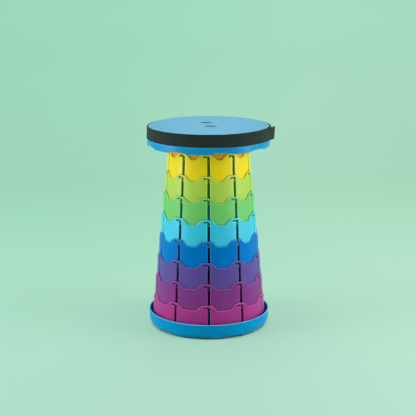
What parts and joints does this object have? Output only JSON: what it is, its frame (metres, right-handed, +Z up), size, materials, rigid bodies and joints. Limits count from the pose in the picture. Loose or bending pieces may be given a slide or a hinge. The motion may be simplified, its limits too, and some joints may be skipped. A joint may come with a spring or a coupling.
{
  "type": "collapsible telescopic stool",
  "caption": "Round-seated telescopic stool: tapered plastic rings slide up out of a base tray and turn to lock, and a webbing strap runs round the seat.",
  "frame": {"origin": "on the floor below the middle of the stool, at the middle rubber foot", "axes": "+Z up through the rings and the seat, -Y towards the front of the picture, +X to its right"},
  "size_m": [0.2648, 0.2561, 0.426],
  "materials": {
    "shell_blue": "satin moulded plastic",
    "pink": "satin moulded plastic",
    "violet": "satin moulded plastic",
    "indigo": "satin moulded plastic",
    "blue": "satin moulded plastic",
    "cyan": "satin moulded plastic",
    "green": "satin moulded plastic",
    "lime": "satin moulded plastic",
    "yellow": "satin moulded plastic",
    "orange": "satin moulded plastic",
    "webbing": "woven nylon webbing",
    "hook_tape": "sewn hook-and-loop tape",
    "foot_rubber": "matt rubber",
    "screw_steel": "zinc plated"
  },
  "bodies": {
    "base": {"base_tray": "shell_blue", "rubber_foot_middle": "foot_rubber", "rubber_foot_1": "foot_rubber", "rubber_foot_2": "foot_rubber", "rubber_foot_3": "foot_rubber", "rubber_foot_4": "foot_rubber", "rubber_foot_5": "foot_rubber", "tray_screw_1": "screw_steel", "tray_screw_2": "screw_steel", "tray_screw_3": "screw_steel", "tray_screw_4": "screw_steel", "tray_screw_5": "screw_steel", "ring_pink": "pink"},
    "violet_stage": {"ring_violet": "violet"},
    "indigo_stage": {"ring_indigo": "indigo"},
    "blue_stage": {"ring_blue": "blue"},
    "cyan_stage": {"ring_cyan": "cyan"},
    "green_stage": {"ring_green": "green"},
    "lime_stage": {"ring_lime": "lime"},
    "yellow_stage": {"ring_yellow": "yellow"},
    "seat": {"ring_orange": "orange", "seat_cover": "shell_blue", "seat_hub": "shell_blue", "seat_screw_1": "screw_steel", "seat_screw_2": "screw_steel", "seat_screw_3": "screw_steel", "seat_screw_4": "screw_steel", "seat_screw_5": "screw_steel", "strap": "webbing", "strap_hook_patch": "hook_tape", "strap_loop_patch": "hook_tape"}
  },
  "joints": [
    {"name": "violet_slide", "type": "slide", "parent": "base", "child": "violet_stage", "axis": [0, 0, 1], "range_m": [-0.044, 0]},
    {"name": "indigo_slide", "type": "slide", "parent": "violet_stage", "child": "indigo_stage", "axis": [0, 0, 1], "range_m": [-0.044, 0]},
    {"name": "blue_slide", "type": "slide", "parent": "indigo_stage", "child": "blue_stage", "axis": [0, 0, 1], "range_m": [-0.044, 0]},
    {"name": "cyan_slide", "type": "slide", "parent": "blue_stage", "child": "cyan_stage", "axis": [0, 0, 1], "range_m": [-0.044, 0]},
    {"name": "green_slide", "type": "slide", "parent": "cyan_stage", "child": "green_stage", "axis": [0, 0, 1], "range_m": [-0.044, 0]},
    {"name": "lime_slide", "type": "slide", "parent": "green_stage", "child": "lime_stage", "axis": [0, 0, 1], "range_m": [-0.044, 0]},
    {"name": "yellow_slide", "type": "slide", "parent": "lime_stage", "child": "yellow_stage", "axis": [0, 0, 1], "range_m": [-0.044, 0]},
    {"name": "seat_slide", "type": "slide", "parent": "yellow_stage", "child": "seat", "axis": [0, 0, 1], "range_m": [-0.044, 0]}
  ]
}
